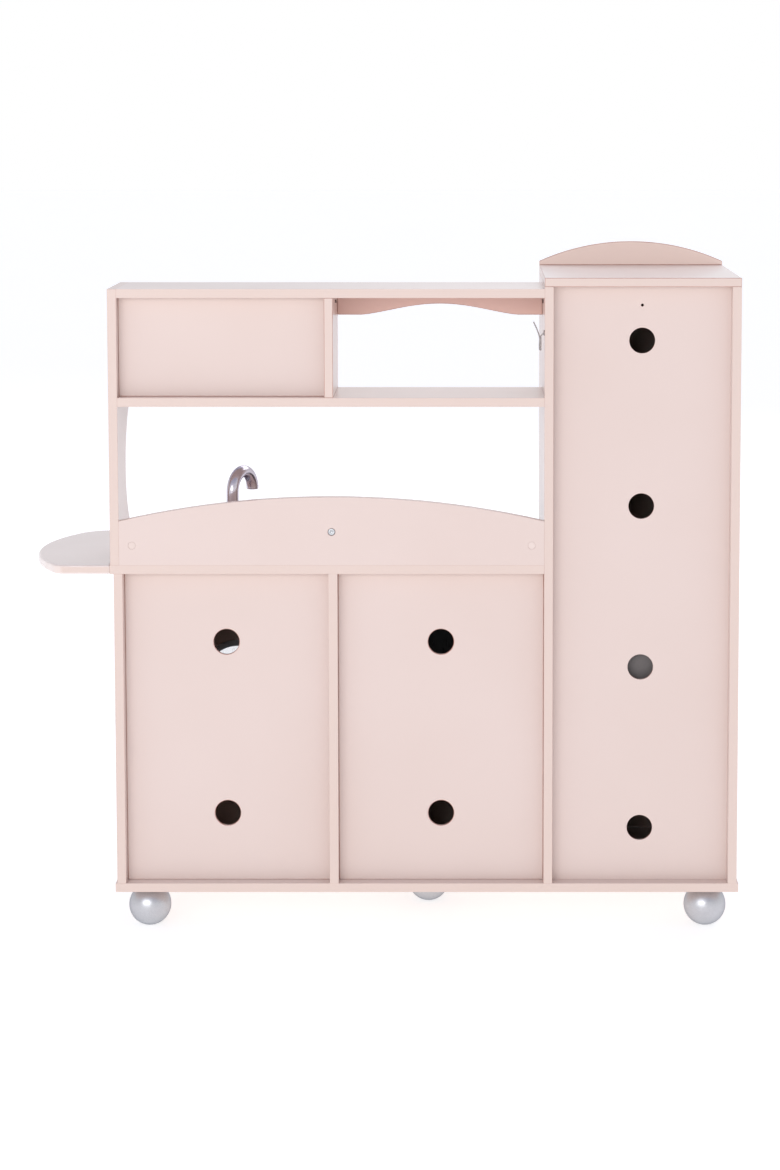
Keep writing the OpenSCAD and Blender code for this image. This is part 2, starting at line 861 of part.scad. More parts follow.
// Freezer drawer
drawer_z0 = drawer_floor_z + board;
bin_wall = 3;
bin_gap = 5;
bin_x = [tower_in_x0 + bin_gap, tower_in_x1 - bin_gap];
bin_y = [front_y1, panel_y0 - 12];
bin_z = [drawer_z0 + 0.5, drawer_z0 + 165];

module drawer_front() {
  color(pink)
    block([tower_in_x0 + front_gap, free_x], [front_y0, front_y1],
      [drawer_z0 + front_gap, fridge_floor_z - front_gap]);
}
module freezer_bin() {
  inset = [bin_wall, -bin_wall];
  color(bin_grey)
    difference() {
      block(bin_x, bin_y, bin_z);
      block(bin_x + inset, bin_y + inset, [bin_z[0] + bin_wall, bin_z[1] + 1]);
    }
}
module drawer_handle() {
  handle_level(tower_mid_x, front_y0, grip_y, fridge_floor_z - front_gap - 50);
}

// A window opening with a rebate for its pane on the inner face
module window_cut(x, y0, z, size) {
  w = size[0] / 2;
  h = size[1] / 2;
  wr = w + rebate;
  hr = h + rebate;
  block([x - w, x + w], [y0 - 1, y0 + board + 1], [z - h, z + h]);
  block([x - wr, x + wr], [y0 + board - pane, y0 + board + 1], [z - hr, z + hr]);
}
module window_pane(x, y0, z, size) {
  w = size[0] / 2 + rebate;
  h = size[1] / 2 + rebate;
  block([x - w, x + w], [y0 + board - pane, y0 + board], [z - h, z + h]);
}

// Oven door: hung along its lower edge
module oven_door() {
  color(pink)
    difference() {
      union() {
        block([tower_x1 + front_gap, oven_x1 - front_gap], [front_y0, front_y1],
          [oven_hinge_z, control_z - front_gap]);
        bar_x(hinge_y, oven_hinge_z, tower_x1 + front_gap, oven_x1 - front_gap, board / 2);
      }
      pin_bores();
      window_cut(oven_mid_x, front_y0, oven_win_z, oven_win);
    }
}
module oven_window() { color(smoked) window_pane(oven_mid_x, front_y0, oven_win_z, oven_win); }
module oven_handle() { handle_level(oven_mid_x, front_y0, grip_y, control_z - level_handle_drop); }

// Washer door with its round window
module washer_door() {
  color(pink)
    side_hung_front(washer_x0 + front_gap, washer_hinge_x, front_y0, floor_z + sill_gap,
      under_top_z - front_gap)
      bar_y(porthole_x, porthole_z, front_y0 - 1, front_y1 + 1, porthole_seat_r);
}
module washer_handle() {
  handle_upright(washer_x0 + front_gap + handle_inset, front_y0, grip_y, porthole_z);
}

module porthole_ring() {
  seat_r = porthole_seat_r - 0.1;
  flange_r = porthole_seat_r + 15;
  flange_y = board - pane;
  proud = 8;
  color(silver)
    translate([porthole_x, front_y1 - pane, porthole_z]) rotate([90, 0, 0])
      rotate_extrude()
        polygon([
          [porthole_r, 0], [seat_r, 0], [seat_r, flange_y], [flange_r, flange_y],
          [flange_r, flange_y + proud / 2], [flange_r - 4, flange_y + proud],
          [porthole_r + 3, flange_y + proud], [porthole_r, flange_y + proud - 3]
        ]);
}
module porthole_window() {
  color(clear) bar_y(porthole_x, porthole_z, front_y1 - pane, front_y1, porthole_seat_r - 0.1);
}

// Microwave door
micro_z0 = shelf_z + sill_gap;
micro_z1 = upper_under_z - front_gap;
micro_x_free = upper_div_x1 + front_gap;
micro_win_x = (micro_x_free + upper_side_x0) / 2 + 14;
micro_win_z = (micro_z0 + micro_z1) / 2;

module microwave_door() {
  color(pink)
    side_hung_front(micro_x_free, micro_hinge_x, micro_y0, micro_z0, micro_z1)
      window_cut(micro_win_x, micro_y0, micro_win_z, micro_win);
}
module microwave_window() { color(smoked) window_pane(micro_win_x, micro_y0, micro_win_z, micro_win); }
module microwave_handle() {
  handle_upright(micro_x_free + handle_inset, micro_y0, micro_y0 - (front_y0 - grip_y), micro_win_z);
}

base_board();
ball_feet();
washer_side_panel();
centre_divider();
tower_inner_side();
tower_outer_side();
washer_back_panel();
oven_back_panel();
tower_back_panel();
microwave_back_panel();
worktop();
side_table();
upper_side_panel();
upper_top_board();
upper_shelf();
upper_divider();
valance();
backsplash();
cover_caps();
tower_top();
crown();
fridge_shelf();
fridge_floor();
drawer_floor();
oven_control_panel();
oven_kick_panel();
oven_rack();
hob_plate();
hob_rings();
sink_basin();
faucet_base();
clock_face();
clock_spindle();
wire_hook();
hinge_pins();
screws_and_bolts();
fridge_door();
fridge_handle();
drawer_front();
freezer_bin();
drawer_handle();
cupboard_door();
cupboard_handle();
oven_door();
oven_window();
oven_handle();
washer_door();
washer_handle();
porthole_ring();
porthole_window();
microwave_door();
microwave_window();
microwave_handle();
faucet();
tap_left();
tap_right();
oven_knob_left();
oven_knob_right();
minute_hand();
hour_hand();
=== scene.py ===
"""Looks for the toy kitchen: lacquered boards, satin silver feet and handles, steel taps, seen from behind.

Everything is in metres, in the CAD frame: front is -Y, rear is +Y, +Z is up.
"""
import json
import math

import bmesh
import bpy
from mathutils import Matrix, Vector


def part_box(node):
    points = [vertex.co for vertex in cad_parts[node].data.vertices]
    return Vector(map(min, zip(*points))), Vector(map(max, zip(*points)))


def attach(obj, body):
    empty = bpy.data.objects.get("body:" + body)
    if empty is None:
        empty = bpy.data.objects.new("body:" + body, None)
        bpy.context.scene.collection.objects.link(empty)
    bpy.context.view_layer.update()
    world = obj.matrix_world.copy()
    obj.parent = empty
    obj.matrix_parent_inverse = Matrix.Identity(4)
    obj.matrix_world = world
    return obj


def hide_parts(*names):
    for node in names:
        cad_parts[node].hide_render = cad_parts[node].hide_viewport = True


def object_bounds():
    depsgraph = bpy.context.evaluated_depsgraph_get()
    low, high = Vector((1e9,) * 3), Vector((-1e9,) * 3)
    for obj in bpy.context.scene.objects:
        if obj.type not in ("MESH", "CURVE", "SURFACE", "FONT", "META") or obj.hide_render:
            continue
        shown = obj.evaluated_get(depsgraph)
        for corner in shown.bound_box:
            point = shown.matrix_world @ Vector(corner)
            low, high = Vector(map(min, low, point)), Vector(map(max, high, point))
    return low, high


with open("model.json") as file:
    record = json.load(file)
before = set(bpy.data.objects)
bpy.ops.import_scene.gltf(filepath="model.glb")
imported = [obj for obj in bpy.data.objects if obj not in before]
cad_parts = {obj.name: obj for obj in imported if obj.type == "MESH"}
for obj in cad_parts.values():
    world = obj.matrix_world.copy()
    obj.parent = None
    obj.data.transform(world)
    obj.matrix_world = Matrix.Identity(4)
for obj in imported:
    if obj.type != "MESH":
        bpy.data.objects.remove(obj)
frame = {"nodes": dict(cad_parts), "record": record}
cad_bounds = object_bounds()
nodes = frame["nodes"]
MM = 0.001

BODY_OF = {node: body for body, members in frame["record"]["behaviour"]["bodies"].items() for node in members}
SLOT_OF = {row["node"]: row["material_slot"] for row in frame["record"]["subparts"]}


# ---------------------------------------------------------------- shader helpers

def linear(r, g, b):
    """An 8-bit screen colour as the linear colour that shaders use."""
    def one(v):
        v /= 255.0
        return v / 12.92 if v <= 0.04045 else ((v + 0.055) / 1.055) ** 2.4
    return (one(r), one(g), one(b), 1.0)


# The sockets of a Mix node that mixes colours
MIX_FACTOR, MIX_FIRST, MIX_SECOND, MIX_RESULT = 0, 6, 7, 2


class Shader:
    """A material under construction: its Principled shader and short ways to add nodes."""

    def __init__(self, name, **constants):
        self.material = bpy.data.materials.new(name)
        self.material.use_nodes = True
        self.tree = self.material.node_tree
        self.bsdf = self.tree.nodes["Principled BSDF"]
        for socket, value in constants.items():
            self.bsdf.inputs[socket.replace("_", " ")].default_value = value
        self.coords = self.tree.nodes.new("ShaderNodeTexCoord").outputs["Object"]

    def node(self, kind, **settings):
        made = self.tree.nodes.new("ShaderNode" + kind)
        for key, value in settings.items():
            setattr(made, key, value)
        return made

    def link(self, source, target):
        self.tree.links.new(source, target)

    def noise(self, size, detail, stretch=(1.0, 1.0, 1.0)):
        """Noise whose features are about `size` metres across, as a value from 0 to 1."""
        mapping = self.node("Mapping")
        mapping.inputs["Scale"].default_value = stretch
        self.link(self.coords, mapping.inputs["Vector"])
        made = self.node("TexNoise")
        made.inputs["Scale"].default_value = 1.0 / size
        made.inputs["Detail"].default_value = detail
        self.link(mapping.outputs["Vector"], made.inputs["Vector"])
        return made.outputs["Fac"]

    def remap(self, value, low, high, to_low, to_high):
        """The value with the range low..high stretched to to_low..to_high, and held there outside it."""
        made = self.node("MapRange")
        for key, number in zip(("From Min", "From Max", "To Min", "To Max"), (low, high, to_low, to_high)):
            made.inputs[key].default_value = number
        self.link(value, made.inputs["Value"])
        return made.outputs["Result"]

    def feed(self, socket, value):
        """Sets a socket to a plain value, or links another node's output to it."""
        if isinstance(value, bpy.types.NodeSocket):
            self.link(value, socket)
        else:
            socket.default_value = value

    def mix(self, factor, first, second):
        """Mixes two colours; each is a colour or an output, and so is the factor."""
        made = self.node("Mix", data_type="RGBA")
        for socket, value in ((MIX_FACTOR, factor), (MIX_FIRST, first), (MIX_SECOND, second)):
            self.feed(made.inputs[socket], value)
        return made.outputs[MIX_RESULT]

    def maths(self, operation, first, second=0.0):
        made = self.node("Math", operation=operation)
        for socket, value in zip(made.inputs, (first, second)):
            self.feed(socket, value)
        return made.outputs[0]

    def bump(self, height, distance, strength, below=None):
        made = self.node("Bump")
        made.inputs["Strength"].default_value = strength
        made.inputs["Distance"].default_value = distance
        self.link(height, made.inputs["Height"])
        if below:
            self.link(below, made.inputs["Normal"])
        return made.outputs["Normal"]

    def across(self, axis):
        """0 on faces square to `axis`, 1 on faces along it: the edges of a board that thick way."""
        parts = self.node("SeparateXYZ")
        normal = self.node("TexCoord").outputs["Normal"]
        self.link(normal, parts.inputs[0])
        facing = self.maths("ABSOLUTE", parts.outputs["XYZ".index(axis)])
        return self.remap(facing, 0.95, 0.6, 0.0, 1.0)

    def off_axis(self):
        """0 on faces square to X, Y or Z, 1 on the rounded edges between them."""
        absolute = self.node("VectorMath", operation="ABSOLUTE")
        self.link(self.node("TexCoord").outputs["Normal"], absolute.inputs[0])
        parts = self.node("SeparateXYZ")
        self.link(absolute.outputs[0], parts.inputs[0])
        most = self.maths("MAXIMUM", parts.outputs[0], parts.outputs[1])
        most = self.maths("MAXIMUM", most, parts.outputs[2])
        return self.remap(most, 0.995, 0.93, 0.0, 1.0)

    def set(self, **sources):
        for socket, source in sources.items():
            self.link(source, self.bsdf.inputs[socket.replace("_", " ")])
        return self.material


# ---------------------------------------------------------------- materials

# A lacquer's tones are its face, its mottling and its board edges
PANEL_TONES = (linear(224, 205, 197), linear(221, 201, 192), linear(222, 200, 188))
# Painted light: the crown's tones are a lighter copy of the panel lacquer, standing in for the stronger light
# on the crown.
CROWN_PAINTED_LIGHT_TONES = (linear(240, 217, 205), linear(237, 213, 200), linear(238, 213, 200))
# Painted shade: the valance's tones are a redder copy of the panel lacquer, standing in for the pink-tinted
# shade under the top board.
VALANCE_PAINTED_SHADE_TONES = (linear(238, 201, 189), linear(235, 196, 183), linear(236, 196, 183))
# Painted shade: the reddish dark laid on the seams and rounded board edges.
SEAM_SHADE_TONE = linear(190, 142, 128)
# Painted highlight: the light tone laid on the side table's rounded rim.
RIM_HIGHLIGHT_TONE = linear(238, 224, 217)
# Tints of metal at grazing angles, darker than the metals' own: painted shade in their edge reflections,
# standing in for darker surroundings
STEEL_RIM_PAINTED_SHADE = (0.62, 0.58, 0.64, 1.0)
SILVER_RIM_PAINTED_SHADE = (0.46, 0.48, 0.52, 1.0)
DARK_RIM_PAINTED_SHADE = (0.30, 0.27, 0.27, 1.0)


def lacquer(name, thick_axis, tones=PANEL_TONES, corner_painted_light_tone=SEAM_SHADE_TONE, coat=0.35):
    """Pink satin lacquer on fibreboard: faint mottling, orange peel and warmer edges; its rounded corners are
    tinted with painted light from the corner tone, painted shade along the seams by default and a painted
    highlight where that tone is light.
    """
    face, deep, edge_colour = tones
    s = Shader(name, IOR=1.5, Coat_Weight=coat, Coat_Roughness=0.12, Coat_IOR=1.5, Specular_IOR_Level=0.4)
    cloud = s.remap(s.noise(240 * MM, 2.0), 0.25, 0.75, 0.0, 1.0)
    colour = s.mix(cloud, face, deep)
    edge = s.across(thick_axis)
    fibre = s.noise(1.6 * MM, 2.0)
    edge_tone = s.mix(s.remap(fibre, 0.3, 0.7, 0.0, 0.6), edge_colour, deep)
    colour = s.mix(s.maths("MULTIPLY", edge, 0.85), colour, edge_tone)
    # Painted light on the rounded corners: the corner tone is laid patchily on the bevels.
    corner = s.maths("MULTIPLY", s.off_axis(), s.remap(s.noise(21 * MM, 3.0), 0.35, 0.65, 0.65, 1.0))
    colour = s.mix(corner, colour, corner_painted_light_tone)
    smear = s.remap(s.noise(90 * MM, 3.0), 0.25, 0.75, 0.30, 0.36)
    rough = s.maths("ADD", smear, s.maths("MULTIPLY", edge, 0.08))
    peel = s.bump(s.noise(6 * MM, 1.0), 0.04 * MM, 0.35)
    grain = s.bump(s.maths("MULTIPLY", fibre, edge), 0.08 * MM, 0.5, below=peel)
    return s.set(Base_Color=colour, Roughness=rough, Normal=grain)


def silver_paint(name):
    """Satin silver metallic paint with fine flakes and a soft cloudiness; its grazing edges are darkened as
    painted shade in the reflections.
    """
    s = Shader(name, Metallic=1.0, IOR=1.5, Coat_Weight=0.15, Coat_Roughness=0.30,
               Specular_Tint=SILVER_RIM_PAINTED_SHADE)
    flake = s.remap(s.noise(0.6 * MM, 1.0), 0.35, 0.65, 0.0, 1.0)
    colour = s.mix(flake, linear(188, 189, 193), linear(210, 211, 214))
    cloud = s.remap(s.noise(20 * MM, 2.0), 0.3, 0.7, 0.0, 0.25)
    colour = s.mix(cloud, colour, linear(192, 188, 192))
    rough = s.remap(s.noise(11 * MM, 3.0), 0.3, 0.7, 0.34, 0.42)
    return s.set(Base_Color=colour, Roughness=rough, Normal=s.bump(flake, 0.03 * MM, 0.35))


def brushed(name, tone, axis, rough, rim=STEEL_RIM_PAINTED_SHADE):
    """Brushed metal: fine lines that run across `axis`, with faint finger marks, and grazing edges darkened
    by the rim tint as painted shade in the reflections.
    """
    s = Shader(name, Metallic=1.0, Specular_Tint=rim)
    fine, long = 1.0, 0.02
    stretch = {"X": (fine, long, long), "Y": (long, fine, long), "Z": (long, long, fine)}[axis]
    lines = s.noise(0.9 * MM, 2.0, stretch)
    dark = tuple(0.93 * c for c in tone[:3]) + (1.0,)
    colour = s.mix(s.remap(lines, 0.3, 0.7, 0.0, 1.0), dark, tone)
    spread = s.remap(s.noise(20 * MM, 3.0), 0.3, 0.7, rough[0], rough[1])
    return s.set(Base_Color=colour, Roughness=spread, Normal=s.bump(lines, 0.01 * MM, 0.3))


def moulded(name, tone, other, rough=(0.38, 0.52),
            grain=0.9 * MM, depth=0.05 * MM, **constants):
    """Moulded plastic with a fine spark texture and slight shade changes."""
    s = Shader(name, IOR=1.46, **constants)
    cloud = s.remap(s.noise(45 * MM, 3.0), 0.3, 0.7, 0.0, 1.0)
    speck = s.remap(s.noise(grain, 2.0), 0.3, 0.7, 0.0, 0.3)
    colour = s.mix(speck, s.mix(cloud, tone, other), other)
    spread = s.remap(s.noise(17 * MM, 4.0), 0.3, 0.7, rough[0], rough[1])
    return s.set(Base_Color=colour, Roughness=spread, Normal=s.bump(s.noise(grain, 2.0), depth, 0.5))


def clear_plastic(name, tone, alpha, rough=(0.05, 0.14)):
    """Thin clear sheet with fine scuffs that catch the light."""
    s = Shader(name, IOR=1.49, Specular_IOR_Level=0.6)
    scuff = s.remap(s.noise(2.2 * MM, 5.0, (1.0, 1.0, 0.15)), 0.60, 0.72, 0.0, 1.0)
    scuffed = tuple(min(1.0, 1.3 * c + 0.05) for c in tone[:3]) + (1.0,)
    colour = s.mix(scuff, tone, scuffed)
    haze = s.remap(s.noise(30 * MM, 3.0), 0.3, 0.7, rough[0], rough[1])
    cover = s.remap(scuff, 0.0, 1.0, alpha, min(1.0, alpha + 0.10))
    return s.set(Base_Color=colour, Roughness=haze, Alpha=cover)


LACQUER_BY_AXIS = {axis: lacquer("pink_lacquer_" + axis.lower(), axis) for axis in "XYZ"}
# The crown's lighter lacquer is painted light.
CROWN_PAINTED_LIGHT_LACQUER = lacquer("crown_painted_light_lacquer", "Y", CROWN_PAINTED_LIGHT_TONES)
# The valance's redder lacquer is painted shade.
VALANCE_PAINTED_SHADE_LACQUER = lacquer("valance_painted_shade_lacquer", "Y", VALANCE_PAINTED_SHADE_TONES)
# The side table's lacquer has a painted highlight on its rounded rim.
TABLE_RIM_HIGHLIGHT_LACQUER = lacquer("table_rim_highlight_lacquer", "Z", PANEL_TONES, RIM_HIGHLIGHT_TONE, coat=0.8)
CAP_PINK = moulded("cap_pink", linear(229, 211, 203), linear(225, 206, 197), (0.34, 0.44))
SILVER = silver_paint("silver_paint")
STEEL = brushed("tap_steel", linear(206, 200, 208), "Z", (0.14, 0.22))
SINK_STEEL = brushed("sink_steel", linear(190, 190, 194), "X", (0.24, 0.36))
WIRE = brushed("wire_steel", linear(176, 170, 168), "X", (0.22, 0.34))
ZINC = brushed("zinc_plate", linear(196, 198, 200), "Y", (0.26, 0.40))
# Painted shade: the screws are dark to stand in for the shade they sit in under the boards.
SCREW_PAINTED_SHADE = brushed("screw_painted_shade_finish", linear(72, 62, 62), "Y", (0.32, 0.46), DARK_RIM_PAINTED_SHADE)
BIN_GREY = moulded("bin_plastic", linear(116, 110, 108), linear(108, 103, 102))
HOB_BLACK = moulded("hob_black", linear(30, 30, 32), linear(24, 24, 27), (0.10, 0.22), 0.6 * MM, 0.02 * MM,
                    Coat_Weight=0.6, Coat_Roughness=0.06)
CREAM = moulded("clock_cream", linear(242, 236, 222), linear(236, 229, 213), (0.30, 0.42))
INK = moulded("dial_ink", linear(58, 54, 56), linear(48, 45, 48), (0.40, 0.55))
SMOKED = clear_plastic("smoked_window", linear(28, 26, 29), 0.94)
CLEAR = clear_plastic("clear_window", linear(232, 240, 246), 0.14)


# ---------------------------------------------------------------- CAD boards: softened edges

WELD_DISTANCE = 0.01 * MM
SHADE_ANGLE = math.radians(32)
FLAT_ANGLE = math.radians(0.2)
BEVEL_ANGLE = math.radians(40)
BOARD_EDGE = 0.9 * MM
TABLE_EDGE = 2.2 * MM
MOULDED_EDGE = 0.8 * MM
HAND_EDGE = 0.25 * MM
CAP_EDGE = 0.3 * MM


def edge_tidy_group():
    """Joins split vertices and shades by angle, so that a bevel can run along the real edges."""
    group = bpy.data.node_groups.new("edge_tidy", "GeometryNodeTree")
    group.interface.new_socket("Geometry", in_out="INPUT", socket_type="NodeSocketGeometry")
    group.interface.new_socket("Geometry", in_out="OUTPUT", socket_type="NodeSocketGeometry")
    start = group.nodes.new("NodeGroupInput")
    end = group.nodes.new("NodeGroupOutput")
    weld = group.nodes.new("GeometryNodeMergeByDistance")
    weld.inputs["Distance"].default_value = WELD_DISTANCE
    normals = group.nodes.new("GeometryNodeSetMeshNormal")
    normals.mode = "SHARPNESS"
    normals.inputs["Remove Custom"].default_value = True
    normals.inputs["Face Sharpness"].default_value = False
    angle = group.nodes.new("GeometryNodeInputMeshEdgeAngle")
    sharp = group.nodes.new("FunctionNodeCompare")
    sharp.data_type = "FLOAT"
    sharp.operation = "GREATER_THAN"
    sharp.inputs[1].default_value = SHADE_ANGLE
    group.links.new(start.outputs[0], weld.inputs["Geometry"])
    group.links.new(weld.outputs[0], normals.inputs["Mesh"])
    group.links.new(angle.outputs["Unsigned Angle"], sharp.inputs[0])
    group.links.new(sharp.outputs[0], normals.inputs["Edge Sharpness"])
    group.links.new(normals.outputs[0], end.inputs[0])
    return group


EDGE_TIDY = edge_tidy_group()


def soften(obj, width):
    """Rounds a CAD node's edges by `width` metres with modifiers, and keeps its flats flat."""
    tidy = obj.modifiers.new("tidy", "NODES")
    tidy.node_group = EDGE_TIDY
    flat = obj.modifiers.new("flats", "DECIMATE")
    flat.decimate_type = "DISSOLVE"
    flat.angle_limit = FLAT_ANGLE
    if width:
        bevel = obj.modifiers.new("edges", "BEVEL")
        bevel.width = width
        bevel.segments = 3
        bevel.limit_method = "ANGLE"
        bevel.angle_limit = BEVEL_ANGLE
    weighted = obj.modifiers.new("normals", "WEIGHTED_NORMAL")
    weighted.keep_sharp = True


def dress(node, material, width=0.0):
    """Gives a CAD node its material and, with a width, its softened edges."""
    obj = nodes[node]
    obj.data.materials.clear()
    obj.data.materials.append(material)
    soften(obj, width)


def thick_axis(node):
    """The axis along which a board is thinnest."""
    low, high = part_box(node)
    size = high - low
    return "XYZ"[min(range(3), key=lambda i: size[i])]


for node, slot in SLOT_OF.items():
    if slot == "painted_board" and node not in ("crown", "valance", "side_table"):
        dress(node, LACQUER_BY_AXIS[thick_axis(node)], BOARD_EDGE)

dress("crown", CROWN_PAINTED_LIGHT_LACQUER, BOARD_EDGE)
dress("valance", VALANCE_PAINTED_SHADE_LACQUER, BOARD_EDGE)
dress("side_table", TABLE_RIM_HIGHLIGHT_LACQUER, TABLE_EDGE)
dress("cover_caps", CAP_PINK, CAP_EDGE)
dress("freezer_bin", BIN_GREY, MOULDED_EDGE)
dress("oven_window", SMOKED)
dress("microwave_window", SMOKED)
dress("porthole_window", CLEAR)
dress("oven_rack", WIRE)
dress("hinge_pins", ZINC)
dress("hob_plate", HOB_BLACK, MOULDED_EDGE)


# ---------------------------------------------------------------- mesh helpers for new pieces

def rounded(profile, radius, steps=4):
    """The profile with each inner corner turned into a small arc."""
    points = [Vector(p) for p in profile]
    out = [points[0]]
    for before, corner, after in zip(points, points[1:], points[2:]):
        a, b = before - corner, after - corner
        reach = min(radius, 0.45 * a.length, 0.45 * b.length)
        start, end = corner + a.normalized() * reach, corner + b.normalized() * reach
        for i in range(steps + 1):
            t = i / steps
            out.append((1 - t) ** 2 * start + 2 * t * (1 - t) * corner + t ** 2 * end)
    return out + [points[-1]]


def lathe(bm, profile, place=Matrix.Identity(4), segments=64):
    """Spins (radius, height) points about the local Z axis."""
    rings = []
    for r, h in profile:
        if r < 1e-7:
            rings.append([bm.verts.new(place @ Vector((0, 0, h)))])
            continue
        turn = [2 * math.pi * i / segments for i in range(segments)]
        rings.append([bm.verts.new(place @ Vector((r * math.cos(a), r * math.sin(a), h))) for a in turn])
    for low, high in zip(rings, rings[1:]):
        for i in range(segments):
            j = (i + 1) % segments
            if len(low) == 1 and len(high) == 1:
                continue
            if len(low) == 1:
                bm.faces.new((low[0], high[j], high[i]))
            elif len(high) == 1:
                bm.faces.new((low[i], low[j], high[0]))
            else:
                bm.faces.new((low[i], low[j], high[j], high[i]))


def tube(bm, path, radius, segments=32):
    """A round bar along the path's points, with flat ends."""
    path = [Vector(p) for p in path]
    tangent = (path[1] - path[0]).normalized()
    side = tangent.orthogonal().normalized()
    rings = []
    for i, point in enumerate(path):
        ahead = path[min(i + 1, len(path) - 1)] - path[max(i - 1, 0)]
        turned = tangent.rotation_difference(ahead.normalized())
        side = turned @ side
        tangent = ahead.normalized()
        other = tangent.cross(side)
        ring = []
        for k in range(segments):
            a = 2 * math.pi * k / segments
            ring.append(bm.verts.new(point + radius * (math.cos(a) * side + math.sin(a) * other)))
        rings.append(ring)
    for low, high in zip(rings, rings[1:]):
        for k in range(segments):
            j = (k + 1) % segments
            bm.faces.new((low[k], low[j], high[j], high[k]))
    bm.faces.new(list(reversed(rings[0])))
    bm.faces.new(rings[-1])


def soft_box(bm, low, high, radius, segments=3):
    """A box with rounded edges."""
    made = bmesh.new()
    bmesh.ops.create_cube(made, size=1.0)
    low, high = Vector(low), Vector(high)
    for v in made.verts:
        v.co = Vector(low[i] + (v.co[i] + 0.5) * (high[i] - low[i]) for i in range(3))
    bmesh.ops.bevel(made, geom=made.edges[:], offset=radius, segments=segments, profile=0.5, affect="EDGES")
    mesh = bpy.data.meshes.new("part")
    made.to_mesh(mesh)
    made.free()
    bm.from_mesh(mesh)
    bpy.data.meshes.remove(mesh)


def piece(name, bm, material, node, stands_for=()):
    """Turns the mesh into a piece with a CAD node's body, in place of the nodes it stands for."""
    bmesh.ops.remove_doubles(bm, verts=bm.verts[:], dist=1e-6)
    bmesh.ops.recalc_face_normals(bm, faces=bm.faces[:])
    mesh = bpy.data.meshes.new(name)
    for face in bm.faces:
        face.smooth = True
    for edge in bm.edges:
        edge.smooth = len(edge.link_faces) == 2 and edge.calc_face_angle(0.0) < math.radians(35)
    bm.to_mesh(mesh)
    bm.free()
    obj = bpy.data.objects.new(name, mesh)
    bpy.context.scene.collection.objects.link(obj)
    mesh.materials.append(material)
    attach(obj, BODY_OF[node])
    if stands_for:
        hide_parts(*stands_for)
    return obj


def middle(node):
    """The centre of a CAD node's box."""
    low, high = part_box(node)
    return (low + high) / 2


# Turns a lathe's axis from up to the front
FACING_FRONT = Matrix.Rotation(math.radians(90), 4, "X")


# ---------------------------------------------------------------- feet

def ball_feet():
    """Turned balls with a flat to stand on and a short neck under the base board."""
    low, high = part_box("ball_feet")
    base_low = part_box("base_board")[0]
    radius = 29 * MM
    flat = 0.5 * MM
    centre_z = radius - flat
    top = base_low.z
    steps = 40
    start = math.acos(centre_z / radius)
    end = math.pi - math.acos((top - centre_z) / radius)
    arc = [(radius * math.sin(a), centre_z - radius * math.cos(a))
           for a in (start + (end - start) * i / steps for i in range(steps + 1))]
    profile = [(0.0, 0.0)] + arc + [(0.0, top)]
    xs = (low.x + radius, high.x - radius)
    ys = (low.y + radius, high.y - radius)
    places = [(x, y) for x in xs for y in ys] + [(sum(xs) / 2, sum(ys) / 2)]
    bm = bmesh.new()
    for x, y in places:
        lathe(bm, profile, Matrix.Translation((x, y, 0)), 72)
    piece("turned_ball_feet", bm, SILVER, "ball_feet", ["ball_feet"])


ball_feet()


# ---------------------------------------------------------------- handles

def bar_handle(node):
    """A round bar with domed ends on two posts that flare where they meet the front."""
    low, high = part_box(node)
    upright = high.z - low.z > high.x - low.x
    r = 5 * MM
    post = 3.9 * MM
    post_inset = 12 * MM
    mid = (low + high) / 2
    bar_y = low.y + r
    length = (high.z - low.z) if upright else (high.x - low.x)
    along = Vector((0, 0, 1)) if upright else Vector((1, 0, 0))
    bm = bmesh.new()
    half = length / 2
    steps = 8
    dome = [(r * math.sin(a), -half + r * (1 - math.cos(a)))
            for a in (math.pi / 2 * i / steps for i in range(steps + 1))]
    profile = dome + [(p[0], -p[1]) for p in reversed(dome)]
    turn = Matrix.Identity(4) if upright else Matrix.Rotation(math.radians(90), 4, "Y")
    lathe(bm, profile, Matrix.Translation((mid.x, bar_y, mid.z)) @ turn, 40)
    reach = high.y - bar_y
    for side in (-1, 1):
        foot = Vector((mid.x, high.y, mid.z)) + along * side * (half - post_inset)
        flare = [(0, 0), (post + 2.4 * MM, 0), (post + 2.4 * MM, 1.2 * MM), (post + 0.6 * MM, 3 * MM),
                 (post, 5 * MM), (post, reach)]
        lathe(bm, rounded(flare, 0.8 * MM), Matrix.Translation(foot) @ FACING_FRONT, 36)
    piece("shaped_" + node, bm, SILVER, node, [node])


for node in SLOT_OF:
    if node.endswith("_handle"):
        bar_handle(node)


# ---------------------------------------------------------------- oven knobs

